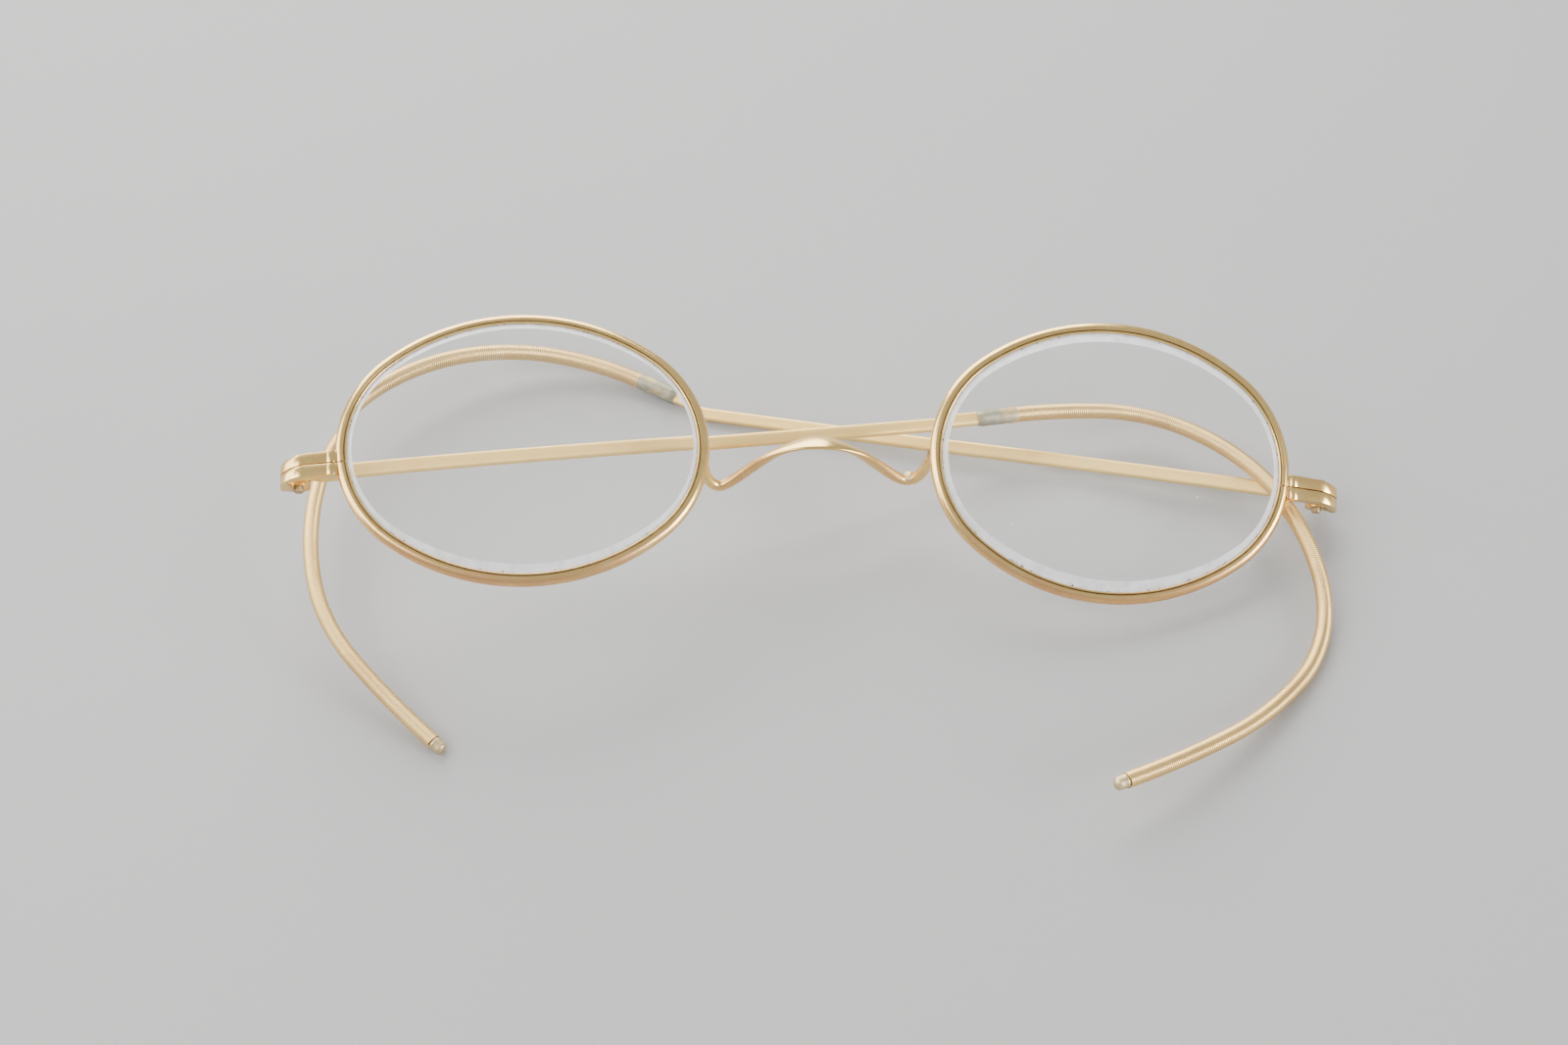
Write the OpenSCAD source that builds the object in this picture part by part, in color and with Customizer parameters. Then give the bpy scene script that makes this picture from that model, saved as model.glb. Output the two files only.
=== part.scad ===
// Oval wire-rim spectacles with a saddle bridge and riding-bow cable temples, folded and laid on a table.
// The worn frame has X across the face, Y up and Z forwards; rest() lays that frame on the table.
// side(s) is the frame of one rim: origin at the lens centre, outer end towards -X, s is -1 left, 1 right.

/* [Eye rims] */
// Width of an eye rim over its outside
rim_w = 40; // [36:0.5:44]
// Height of an eye rim over its outside
rim_h = 31.5; // [30:0.25:34]
// Outside radius of the oval's two narrow ends
rim_end_r = 13.5; // [12.5:0.25:14.25]
// Distance between the two lens centres
lens_pitch = 64; // [60:0.5:70]
// Angle by which each rim drops towards its outer end
rim_droop = 3; // [0:0.5:5]
// Angle between the two eye rims, bent in by wear
front_twist = 10; // [0:0.5:12]
// Width of the eye wire, seen from the front
wire_w = 1.25; // [1.15:0.05:1.6]
// Depth of the eye wire, front to back
wire_depth = 1.5; // [1.4:0.05:1.9]
// Depth of the lens groove inside the eye wire
groove_depth = 0.55; // [0.4:0.05:0.6]

/* [Lenses] */
// Clearance between the lens edge and its groove
lens_gap = 0.08; // [0.04:0.01:0.15]
// Thickness of the lens where it leaves the groove at its narrow end
lens_edge_t = 1; // [0.8:0.05:1.2]
// Radius of the lens front surface
lens_front_r = 260; // [200:5:400]
// Radius of the lens back surface
lens_back_r = 500; // [300:10:900]
// Width of the ground bevel around the lens front, at its narrow ends
lens_bevel_w = 0.7; // [0.5:0.05:0.9]
// Depth of that bevel at the rim
lens_bevel_d = 0.3; // [0.2:0.05:0.4]

/* [Bridge] */
// Diameter of the bridge's round shanks
shank_d = 1.2; // [1:0.05:1.3]
// Distance between the lowest points of the bridge's two feet
foot_span = 20.6; // [19:0.2:22]
// Distance of the feet behind the lens plane
foot_back = 7; // [5:0.25:8.5]
// Distance of the feet below the lens centres
foot_drop = 1; // [0:0.1:3]
// Height of the crest above the lens centres
crest_rise = 2; // [0.5:0.1:4]
// Distance of the crest behind the lens plane
crest_back = 1.7; // [0:0.1:3]
// Width of the flattened crest, front to back
crest_w = 2.9; // [2:0.1:3.6]
// Thickness of the flattened crest
crest_t = 0.8; // [0.6:0.05:1.1]

/* [End pieces] */
// Height of one half of an end piece
half_h = 1.28; // [1.1:0.02:1.6]
// Gap left by the saw cut between the two halves
closing_gap = 0.12; // [0.06:0.02:0.2]
// Distance of the end piece below the middle of the rim
end_drop = 1.35; // [0.5:0.05:2]
// Thickness of the strap that leaves the rim
strap_t = 1.1; // [1:0.05:1.2]
// Length of the straight strap between rim and curl
strap_len = 3.6; // [3:0.1:5]
// Outside radius of the curl that turns the strap back
curl_r = 2.6; // [2.5:0.05:3]
// Radius of the round knuckle that holds the screw
knuckle_r = 1.25; // [1.15:0.05:1.35]
// Diameter of the hinge screw
screw_d = 1; // [0.8:0.05:1.1]
// Clearance of the hinge screw in the two halves
screw_gap = 0.03; // [0.02:0.01:0.06]
// Diameter of the screw's head
head_d = 1.8; // [1.5:0.05:2]
// Height of the screw's head
head_h = 0.45; // [0.35:0.05:0.6]
// Length of screw that stands out below
screw_tail = 0.5; // [0.2:0.05:0.8]

/* [Temples] */
// Distance that the folded left cable ends its reach short of the far hinge
reach_short = 4.7; // [4:0.1:5.5]
// Height of the shaft at the hinge
shaft_h = 1.5; // [1.3:0.05:1.8]
// Height of the shaft at the solder joint
shaft_h_end = 1.25; // [1.1:0.05:1.4]
// Thickness of the shaft
shaft_t = 1; // [0.9:0.05:1.1]
// Thickness of the flat eye that turns on the screw
eye_t = 0.8; // [0.6:0.05:1]
// Clearance of the eye, above, below and on the screw
eye_gap = 0.07; // [0.04:0.01:0.1]
// Length of the bent stretch of shaft before the solder joint
set_len = 6; // [4:0.5:8]
// Length of the solder joint
joint_len = 4.6; // [4:0.1:6]
// Diameter of the solder joint at its fullest
joint_d = 1.9; // [1.8:0.05:2.1]
// Diameter of the wound cable
cable_d = 1.75; // [1.6:0.05:1.85]
// Diameter of the cable's core wire
core_d = 1; // [0.8:0.05:1.1]
// Clearance between the core wire and what is around it
core_gap = 0.05; // [0.02:0.01:0.08]
// Length of the wound cable over its curve
cable_len = 80.5; // [76:0.5:85]
// Length of the cap at the cable's end
tip_len = 3.5; // [3:0.1:5]
// Diameter of the cap at the cable's end
tip_d = 1.6; // [1.5:0.05:1.7]

/* [Left temple as bent and folded] */
// Angle of the folded left temple behind the front
left_fold = 3.7; // [3:0.1:4.5]
// Rise of the folded left temple towards the nose
left_rise = 5; // [4:0.5:6]
// Bend of the left shaft before its solder joint
left_set = -1; // [-3:0.5:1]

/* [Right temple as bent and folded] */
// Angle of the folded right temple behind the front
right_fold = 16; // [15:0.5:17]
// Rise of the folded right temple towards the nose
right_rise = 7; // [6:0.5:8]
// Bend of the right shaft before its solder joint
right_set = -14.5; // [-16:0.5:-13]

/* [Rest on the table] */
// Tilt of the front about X as it lies
rest_pitch = 21.18; // [19:0.01:23]
// Tilt of the front about Y as it lies
rest_lean = 8.54; // [7:0.01:10]
// Turn of the front about the table's upright
rest_turn = -2.19; // [-5:0.01:0]

/* [Hidden] */
$fn = 64;
EPS = 0.01;
RAD = PI/180;

LEFT = -1;
RIGHT = 1;
GOLD = "#d9c08a";
PALE_GOLD = "#e6d8ae";
STEEL = "#9a9a92";
SOLDER = "#8f9384";
GLASS = [0.85, 0.92, 0.93, 0.35];

// Each cable is bent by hand, one stretch after another: the angle of its bend and the bend's
// direction about the cable. The stretches share the cable's length in the ratios of STRETCHES.
STRETCHES = [19, 19, 23, 27, 27, 23, 23];
LEFT_BENDS = [[8.5, -13], [37.5, -35], [23, -11], [30.5, 21], [52.5, -30], [18.5, -30], [5.5, -30]];
RIGHT_BENDS = [[21, -44], [22.5, -31], [27.5, -25], [37, -25], [23, -25], [28.5, -25], [7, -25]];
cable_step = 6;
cable_sides = 10;
cable_start = [[0, 0, 0], [1, 0, 0], [0, 1, 0], [0, 0, 1]];

// Place of the front in the table's frame: the whole object stands on z = 0 about the origin
rest_shift = [0.756, 5.682, 14.926];

// Four arcs make the oval: two of rim_end_r at its ends, and two of flank_r above and below
half_rim_w = rim_w/2;
half_rim_h = rim_h/2;
end_x = half_rim_w - rim_end_r;
flank_r = (pow(half_rim_w, 2) + pow(half_rim_h, 2) - 2*half_rim_w*rim_end_r)/(2*(half_rim_h - rim_end_r));
flank_y = flank_r - half_rim_h;
end_turn = atan2(flank_y, end_x);
end_steps = 16;
flank_steps = 14;
// Each station of the oval: centre of its arc, radius and angle
OVAL = [for (arc = [
    [[end_x, 0], rim_end_r, -end_turn, end_turn, end_steps],
    [[0, -flank_y], flank_r, end_turn, 180 - end_turn, flank_steps],
    [[-end_x, 0], rim_end_r, 180 - end_turn, 180 + end_turn, end_steps],
    [[0, flank_y], flank_r, 180 + end_turn, 360 - end_turn, flank_steps]])
  for (i = [0:arc[4] - 1]) [arc[0], arc[1], mix(arc[2], arc[3], i/arc[4])]];

// The eye wire's section and the lens edge that it holds
bead_r = wire_depth/2;
bead_steps = 6;
notch = 0.09;
line_inset = 0.27;
notch_in = wire_w - line_inset;
groove_in = wire_w - groove_depth;
apex_in = groove_in + lens_gap;
shoulder_in = wire_w + lens_gap;
lens_land = 0.1;
lens_half_w = half_rim_w - shoulder_in;
front_edge = lens_edge_t/2 + lens_bevel_d;
back_edge = lens_edge_t/2 + lens_land;
front_crown = front_edge + sag(lens_front_r, lens_half_w);
back_crown = back_edge + sag(lens_back_r, lens_half_w);
sag_steps = 10;
blank_t = 2*max(front_crown, back_crown);
bevel_rise = lens_bevel_d + lens_half_w*lens_bevel_w/lens_front_r;
blank_in = shoulder_in + lens_bevel_w*(blank_t - lens_edge_t/2)/bevel_rise;

// Seats filed on the eye wire for the end piece and for the bridge
end_h = 2*half_h + closing_gap;
pad_reach = abs(end_drop) + end_h/2;
pad_out = end_x + sqrt(pow(rim_end_r, 2) - pow(pad_reach, 2));
seat_share = 0.3;
shank_seat = seat_share*wire_depth;
shank_in = wire_w/2;
seat_side = 0.05;

// The end piece, seen from above: strap, curl and knuckle
hinge_angle = 57;
curl_out = pad_out + strap_len;
curl_back = curl_r - strap_t/2;
hinge_off = curl_r - knuckle_r;
hinge_out = curl_out + hinge_off*cos(hinge_angle);
hinge_back = curl_back + hinge_off*sin(hinge_angle);
collar_proud = 0.13;
collar_r = strap_t/2 + collar_proud;
eye_inset = 0.05;
eye_r = knuckle_r - eye_inset;
slot_h = eye_t + 2*eye_gap;
slot_room = 0.15;
slot_r = knuckle_r + slot_room;
head_slot = 0.25;

// The temple beyond its eye, and the length that lets its cable curl round the far hinge
shoulder_gap = 0.65;
shoulder = knuckle_r + shoulder_gap;
tongue_side = 0.05;
tongue_t = shaft_t - 2*tongue_side;
tongue_end = shoulder + shaft_t/2;
round_share = 0.38;
shaft_round = round_share*shaft_t;
set_steps = 5;
hinge_span = lens_pitch + 2*hinge_out;
bend_reach = max([for (f = cable_places(LEFT)) f[0][0]]);
shaft_len = hinge_span - reach_short - bend_reach - joint_len - set_len;
joint_cone = 0.6;
core_seat = 2;
tip_barrel = tip_len - tip_d/2;

// The bridge's route in the worn frame, right half
shank_start = [lens_pitch/2 - (half_rim_w - shank_in)*cos(rim_droop),
  (half_rim_w - shank_in)*sin(rim_droop), -shank_seat];
foot = [foot_span/2, -foot_drop, -foot_back];
crest = [0, crest_rise, -crest_back];
shank_lead = 0.4;
// Pull of each curve's handles: down the shank in shares of foot_back, the others of the feet's half span
SHANK_PULL = [0, 0, 0.37];
FOOT_PULL = [0.146, -0.0146, 0.0097];
ARCH_PULL = [-0.165, 0.0165, 0.0583];
CREST_PULL = [0.466, 0, 0];
shank_steps = 9;
arch_steps = 13;
bridge_sides = 16;

function unit(v) = v/norm(v);
function mix(a, b, t) = a + (b - a)*t;
function ease(t) = t*t*(3 - 2*t);
function sag(r, x) = r - sqrt(r*r - x*x);
function bezier(p, t) = pow(1 - t, 3)*p[0] + 3*pow(1 - t, 2)*t*p[1] + 3*(1 - t)*t*t*p[2] + pow(t, 3)*p[3];
function turn_x(p, a) = [p[0], p[1]*cos(a) - p[2]*sin(a), p[1]*sin(a) + p[2]*cos(a)];

// Outlines, counterclockwise, and their place in space on two axes
function ellipse(w, t, n) = [for (k = [0:n - 1]) [w/2*cos(360*k/n), t/2*sin(360*k/n)]];
function rounded(w, t, c) = [for (q = [0:3], k = [0:3]) let(a = 90*q + 30*k)
  [(q == 0 || q == 3 ? 1 : -1)*(w/2 - c) + c*cos(a), (q < 2 ? 1 : -1)*(t/2 - c) + c*sin(a)]];
function placed(outline, centre, u, v) = [for (p = outline) centre + p[0]*u + p[1]*v];

// Side faces between neighbouring rings of n points, from ring number a on to ring number b
function band(a, b, n) = [for (k = [0:n - 1]) each [
  [a*n + k, b*n + k, b*n + (k + 1)%n], [a*n + k, b*n + (k + 1)%n, a*n + (k + 1)%n]]];

// A solid through rings that turn counterclockwise about the way they follow each other
module loft(rings) {
  n = len(rings[0]);
  m = len(rings);
  polyhedron(points = [for (r = rings) each r], faces = concat(
    [[for (k = [0:n - 1]) k]],
    [for (j = [0:m - 2]) each band(j, j + 1, n)],
    [[for (k = [n - 1:-1:0]) (m - 1)*n + k]]));
}

// The same, closed on itself
module hoop(rings) {
  m = len(rings);
  polyhedron(points = [for (r = rings) each r],
    faces = [for (j = [0:m - 1]) each band(j, (j + 1)%m, len(rings[0]))]);
}

module rest() {
  translate(rest_shift) rotate([rest_pitch, rest_lean, rest_turn]) children();
}

module side(s) {
  rotate([s*front_twist/2, 0, 0])
    mirror([s == RIGHT ? 1 : 0, 0, 0])
      translate([-lens_pitch/2, 0, 0])
        rotate([0, 0, rim_droop])
          children();
}

// A point of the oval at a station, so far inside the outline and so high
function oval_point(q, inwards, z) = let(r = q[1] - inwards)
  [q[0][0] + r*cos(q[2]), q[0][1] + r*sin(q[2]), z];

// The eye wire's section, clockwise: depth inside the outline and height
wire_back = [[notch_in - notch, -bead_r], [notch_in, notch - bead_r], [notch_in + notch, -bead_r],
  [wire_w, -bead_r], [wire_w, -groove_depth]];
wire_section = concat(
  [for (i = [0:bead_steps]) let(a = 90 - 180*i/bead_steps) [bead_r - bead_r*cos(a), bead_r*sin(a)]],
  wire_back, [[groove_in, 0]],
  [for (i = [len(wire_back) - 1:-1:0]) [wire_back[i][0], -wire_back[i][1]]]);

module rim(s) {
  color(GOLD) rest() side(s) difference() {
    hoop([for (q = OVAL) [for (p = wire_section) oval_point(q, p[0], p[1])]]);
    translate([-pad_out - wire_w, -end_drop - end_h/2, -wire_depth])
      cube([wire_w, end_h, 2*wire_depth]);
    translate([-half_rim_w - wire_w, -end_drop - closing_gap/2, -wire_depth])
      cube([3*wire_w, closing_gap, 2*wire_depth]);
    translate([half_rim_w - 1.5*wire_w, -shank_d/2 - seat_side, -wire_depth])
      cube([2*wire_w, shank_d + 2*seat_side, wire_depth - shank_seat]);
  }
}

// A lens edged to the oval from a round blank
module lens(s) {
  v = lens_edge_t/2;
  color(GLASS) rest() side(s) intersection() {
    loft([for (p = [[shoulder_in, -blank_t], [shoulder_in, -v], [apex_in, 0], [shoulder_in, v],
      [blank_in, blank_t]]) [for (q = OVAL) oval_point(q, p[0], p[1])]]);
    rotate_extrude($fn = 96) polygon(concat(
      [for (i = [0:sag_steps]) let(x = half_rim_w*i/sag_steps) [x, front_crown - sag(lens_front_r, x)]],
      [for (i = [sag_steps:-1:0]) let(x = half_rim_w*i/sag_steps) [x, sag(lens_back_r, x) - back_crown]]));
  }
}

// A point of the bridge's right half, put on side s with the twist of that side's rim
function twist(p, s) = turn_x([s*p[0], p[1], p[2]], s*front_twist/2*min(1, abs(p[0])/foot[0]));

// Half of the bridge's route, from its seat on one rim nearly to the crest
function bridge_half(s) = let(
    lead = shank_start - [0, 0, shank_lead],
    down = [lead, lead - foot_back*SHANK_PULL, foot + foot[0]*FOOT_PULL, foot],
    over = [foot, foot + foot[0]*ARCH_PULL, crest + foot[0]*CREST_PULL, crest])
  concat([twist(shank_start, s)],
    [for (i = [0:shank_steps]) twist(bezier(down, i/(shank_steps + 1)), s)],
    [for (i = [0:arch_steps]) twist(bezier(over, i/(arch_steps + 1)), s)]);

module bridge() {
  left = bridge_half(LEFT);
  right = bridge_half(RIGHT);
  route = concat(left, [crest], [for (i = [len(right) - 1:-1:0]) right[i]]);
  last = len(route) - 1;
  color(GOLD) rest() loft([for (i = [0:last]) let(
      along = unit(route[min(i + 1, last)] - route[max(i - 1, 0)]),
      wide = unit(cross([0, 1, 0], along)),
      flat = ease(max(0, 1 - abs(route[i][0])/foot[0])))
    placed(ellipse(mix(shank_d, crest_w, flat), mix(shank_d, crest_t, flat), bridge_sides),
      route[i], wide, cross(along, wide))]);
}

// Outline of an end piece from above, X outwards and Y forwards
module end_plan() {
  translate([pad_out, -strap_t/2]) square([strap_len + EPS, strap_t]);
  translate([pad_out + collar_r, 0]) circle(collar_r);
  translate([curl_out, -curl_back]) intersection() {
    difference() {
      circle(curl_r);
      circle(curl_r - strap_t);
    }
    polygon([[0, 0], [0, 2*curl_r], [2*curl_r, 2*curl_r], [2*curl_r, -2*curl_r*tan(hinge_angle)]]);
  }
  translate([hinge_out, -hinge_back]) circle(knuckle_r);
}

// up is 1 for the upper half and -1 for the lower one
module end_piece(s, up) {
  slot_out = slot_r/2;
  color(PALE_GOLD) rest() side(s) translate([0, -end_drop, 0]) mirror([0, up == 1 ? 0 : 1, 0]) difference() {
    translate([0, closing_gap/2, 0]) mirror([1, 0, 0]) rotate([90, 0, 0])
      mirror([0, 0, 1]) linear_extrude(half_h) end_plan();
    translate([-hinge_out, 0, -hinge_back]) rotate([90, 0, 0]) {
      cylinder(h = 4*half_h, d = screw_d + 2*screw_gap, center = true);
      cylinder(h = slot_h, r = slot_r, center = true);
    }
    translate([-hinge_out - slot_out, -slot_h/2, slot_out - hinge_back - 2*curl_r])
      cube([2*curl_r, slot_h, 2*curl_r]);
  }
}

module hinge_screw(s) {
  color(STEEL) rest() side(s) translate([-hinge_out, -end_drop, -hinge_back]) rotate([-90, 0, 0]) {
    translate([0, 0, -end_h/2 - screw_tail]) cylinder(h = end_h + screw_tail, d = screw_d);
    difference() {
      translate([0, 0, end_h/2]) cylinder(h = head_h, d = head_d);
      translate([-head_d, -head_slot/2, end_h/2 + head_h/2]) cube([2*head_d, head_slot, head_h]);
    }
  }
}

// Frame of a folded temple at its hinge: Y is the hinge axis, X runs inwards along the shaft
module hinge_frame(s) {
  rest() side(s) translate([-hinge_out, -end_drop, -hinge_back])
    rotate([0, s == LEFT ? left_fold : right_fold, 0]) children();
}

function rise_of(s) = s == LEFT ? left_rise : right_rise;
function set_of(s) = s == LEFT ? left_set : right_set;
function bends_of(s) = s == LEFT ? LEFT_BENDS : RIGHT_BENDS;
// Point at angle a along an arc that starts along +X and bends towards -Y
function arc_point(r, a) = [r*sin(a), -r*(1 - cos(a)), 0];

module temple_shaft(s) {
  bend = set_of(s);
  bend_r = set_len/(bend*RAD);
  color(GOLD) hinge_frame(s) difference() {
    union() {
      rotate([90, 0, 0]) cylinder(h = eye_t, r = eye_r, center = true);
      translate([0, -eye_t/2, -tongue_t/2]) cube([tongue_end, eye_t, tongue_t]);
      rotate([0, 0, rise_of(s)]) loft(concat(
        [placed(rounded(shaft_h, shaft_t, shaft_round), [shoulder, 0, 0], [0, 1, 0], [0, 0, 1])],
        [for (i = [0:set_steps]) let(a = bend*i/set_steps)
          placed(rounded(shaft_h_end, shaft_t, shaft_round), [shaft_len, 0, 0] + arc_point(bend_r, a),
            [sin(a), cos(a), 0], [0, 0, 1])]));
    }
    rotate([90, 0, 0]) cylinder(h = 2*shaft_h, d = screw_d + 2*eye_gap, center = true);
  }
}

// Frame at the start of the solder joint
module joint_frame(s) {
  hinge_frame(s) rotate([0, 0, rise_of(s)])
    translate([shaft_len, 0, 0] + arc_point(set_len/(set_of(s)*RAD), set_of(s)))
      rotate([0, 0, -set_of(s)]) children();
}

module cable_frame(s) {
  joint_frame(s) translate([joint_len, 0, 0]) children();
}

module cable_joint(s) {
  color(SOLDER) joint_frame(s) rotate([0, 90, 0]) difference() {
    union() {
      cylinder(h = joint_cone, d1 = shaft_h_end, d2 = joint_d);
      translate([0, 0, joint_cone]) cylinder(h = joint_len - 2*joint_cone, d = joint_d);
      translate([0, 0, joint_len - joint_cone]) cylinder(h = joint_cone, d1 = joint_d, d2 = cable_d);
    }
    translate([0, 0, joint_len - core_seat - core_gap])
      cylinder(h = core_seat + 2*core_gap, d = core_d + 2*core_gap);
  }
}

// A place along a cable: point, way on, and two axes across that are carried along without turning.
// Bends it by angle a with radius r, in the direction psi about the cable
function bent(f, psi, r, a) = let(
    b = cos(psi)*f[2] + sin(psi)*f[3],
    c = cos(psi)*f[3] - sin(psi)*f[2],
    d = cos(a)*b + sin(a)*f[1])
  [f[0] + r*sin(a)*f[1] - r*(1 - cos(a))*b, cos(a)*f[1] - sin(a)*b,
    cos(psi)*d - sin(psi)*c, sin(psi)*d + cos(psi)*c];
function shifted(f, d) = [f[0] + d*f[1], f[1], f[2], f[3]];

function total(v) = v*[for (x = v) 1];

// All places along a cable after place f, from stretch number i on
function places(bends, i, f) = i == len(bends) ? [] : let(
    a = bends[i][0],
    r = cable_len*STRETCHES[i]/total(STRETCHES)/(a*RAD),
    n = ceil(a/cable_step))
  concat([for (j = [1:n]) bent(f, bends[i][1], r, a*j/n)],
    places(bends, i + 1, bent(f, bends[i][1], r, a)));
function cable_places(s) = concat([cable_start], places(bends_of(s), 0, cable_start));
function around(f, d) = placed(ellipse(d, d, cable_sides), f[0], f[2], f[3]);

module cable_core(s) {
  p = cable_places(s);
  color(STEEL) cable_frame(s) loft([for (f = concat([shifted(p[0], -core_seat)], p,
    [shifted(p[len(p) - 1], tip_barrel - 2*core_gap)])) around(f, core_d)]);
}

module cable_winding(s) {
  p = cable_places(s);
  bore = core_d + 2*core_gap;
  color(GOLD) cable_frame(s) hoop(concat([for (f = p) around(f, cable_d)],
    [for (i = [len(p) - 1:-1:0]) around(p[i], bore)]));
}

module cable_tip(s) {
  p = cable_places(s);
  f = p[len(p) - 1];
  color(STEEL) cable_frame(s)
    multmatrix([for (i = [0:2]) [f[2][i], f[3][i], f[1][i], f[0][i]]]) difference() {
      union() {
        cylinder(h = tip_barrel, d = tip_d);
        translate([0, 0, tip_barrel]) sphere(d = tip_d);
      }
      translate([0, 0, -core_gap]) cylinder(h = tip_barrel, d = core_d + 2*core_gap);
    }
}

rim(LEFT);  // rim_left
rim(RIGHT);  // rim_right
lens(LEFT);  // lens_left
lens(RIGHT);  // lens_right
bridge();
end_piece(LEFT, 1);  // end_piece_upper_left
end_piece(LEFT, -1);  // end_piece_lower_left
end_piece(RIGHT, 1);  // end_piece_upper_right
end_piece(RIGHT, -1);  // end_piece_lower_right
hinge_screw(LEFT);  // hinge_screw_left
hinge_screw(RIGHT);  // hinge_screw_right
temple_shaft(LEFT);  // temple_shaft_left
temple_shaft(RIGHT);  // temple_shaft_right
cable_joint(LEFT);  // cable_joint_left
cable_joint(RIGHT);  // cable_joint_right
cable_core(LEFT);  // cable_core_left
cable_core(RIGHT);  // cable_core_right
cable_winding(LEFT);  // cable_winding_left
cable_winding(RIGHT);  // cable_winding_right
cable_tip(LEFT);  // cable_tip_left
cable_tip(RIGHT);  // cable_tip_right
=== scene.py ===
"""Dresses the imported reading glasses: wire rims with ground lenses, a saddle bridge, split end
pieces and wound cable temples, folded on a table. Lengths in the settings are in metres."""
import math

import bmesh
import bpy
from mathutils import Matrix, Vector, noise


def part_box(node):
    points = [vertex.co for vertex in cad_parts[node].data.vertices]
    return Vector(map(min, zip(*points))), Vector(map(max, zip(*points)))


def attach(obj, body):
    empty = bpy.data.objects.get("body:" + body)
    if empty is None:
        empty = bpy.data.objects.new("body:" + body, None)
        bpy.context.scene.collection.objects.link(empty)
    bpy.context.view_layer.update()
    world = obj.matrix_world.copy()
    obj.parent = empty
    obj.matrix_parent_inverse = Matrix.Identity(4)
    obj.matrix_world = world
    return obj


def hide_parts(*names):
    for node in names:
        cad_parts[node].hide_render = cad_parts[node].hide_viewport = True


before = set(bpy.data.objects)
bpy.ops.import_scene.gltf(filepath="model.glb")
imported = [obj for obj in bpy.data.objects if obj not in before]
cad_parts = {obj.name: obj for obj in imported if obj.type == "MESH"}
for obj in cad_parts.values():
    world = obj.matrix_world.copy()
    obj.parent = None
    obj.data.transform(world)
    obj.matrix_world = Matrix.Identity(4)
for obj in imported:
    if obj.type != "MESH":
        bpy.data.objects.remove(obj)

bl_info = {
    "name": "Folded reading glasses",
    "version": (1, 0, 0),
    "blender": (4, 5, 0),
    "location": "View3D > Sidebar > Glasses",
    "description": "Builds wire-rim reading glasses with cable temples over their packed model",
    "category": "Object",
}

MM = 0.001
WELD = 0.001 * MM
LEFT, RIGHT = -1, 1
SIDE_NAMES = {LEFT: "left", RIGHT: "right"}

# Steps round each shape
RIM_STEPS, LENS_STEPS, TURNED_STEPS = 240, 200, 36
BRIDGE_SIDES, SHAFT_SIDES, COIL_SIDES = 32, 48, 22

# Share of the bevel's width that shows on each lens, and the lens's two finishes
BEVEL_SHARE = {LEFT: 0.62, RIGHT: 0.85}
CLEAR, GROUND = 0, 1

# How each shaft rises from its hinge, and how its end is bent
SHAFT_RISE = {LEFT: math.radians(5), RIGHT: math.radians(7)}
SHAFT_SET = {LEFT: math.radians(-1), RIGHT: math.radians(-14.5)}

# Each cable was bent by hand, one stretch after another: the stretches' shares of its length, and
# the angle and direction of each bend in degrees
STRETCHES = (19, 19, 23, 27, 27, 23, 23)
BENDS = {
    LEFT: ((8.5, -13), (37.5, -35), (23, -11), (30.5, 21), (52.5, -30), (18.5, -30), (5.5, -30)),
    RIGHT: ((21, -44), (22.5, -31), (27.5, -25), (37, -25), (23, -25), (28.5, -25), (7, -25)),
}

PALE_SOLDER = (0.42, 0.4, 0.3)
GILT_SOLDER = (0.72, 0.55, 0.3)
SPRING_WIRE = (0.42, 0.42, 0.42)
CHIPPED = (0.06, 0.06, 0.07)
DUST = (0.9, 0.92, 0.95, 1)
SHADE_OF_GLASS = (0.96, 0.97, 0.97, 1)

SKY, SKY_STRENGTH = (0.66, 0.68, 0.7, 1), 0.9
# Name, place and size in metres, watts and colour. All face the glasses
LAMPS = (
    ("window", (-0.2, 1.05, 0.64), 1.25, 34.0, (1, 0.99, 0.96)),
    ("ceiling", (-0.6, -0.3, 1.0), 0.6, 6.0, (1, 0.98, 0.95)),
    ("side_window", (-1.0, 0.1, 0.55), 0.95, 14.0, (1, 0.98, 0.96)),
    ("near_fill", (0.9, -0.45, 0.35), 0.5, 13.0, (1, 0.98, 1)),
)


def length(name, description, millimetres):
    return bpy.props.FloatProperty(
        name=name, description=description, default=millimetres * MM, unit="LENGTH", precision=5
    )


def angle(name, description, degrees):
    return bpy.props.FloatProperty(
        name=name, description=description, default=math.radians(degrees), subtype="ANGLE"
    )


def colour(name, description, rgb):
    return bpy.props.FloatVectorProperty(
        name=name, description=description, default=rgb, size=3, subtype="COLOR", min=0, max=1
    )


def position(name, description, millimetres):
    return bpy.props.FloatVectorProperty(
        name=name,
        description=description,
        default=[x * MM for x in millimetres],
        subtype="TRANSLATION",
        precision=5,
    )


class GLASSES_PG_lay(bpy.types.PropertyGroup):
    """How the glasses lie folded on the table"""

    pitch: angle("Pitch", "Tilt of the front about X as it lies", 21.18)
    lean: angle("Lean", "Tilt of the front about Y as it lies", 8.54)
    turn: angle("Turn", "Turn of the front about the table's upright", -2.19)
    place: position("Place", "Place of the front's middle over the table", (0.756, 5.682, 14.926))
    twist: angle("Twist", "Angle between the two rims, bent in by wear", 10)
    droop: angle("Droop", "Angle by which each rim drops towards its outer end", 3)
    lens_pitch: length("Lens pitch", "Distance between the two lens centres", 64)
    left_fold: angle("Left fold", "Angle of the left temple behind the front", 3.7)
    right_fold: angle("Right fold", "Angle of the right temple behind the front", 16)


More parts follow.
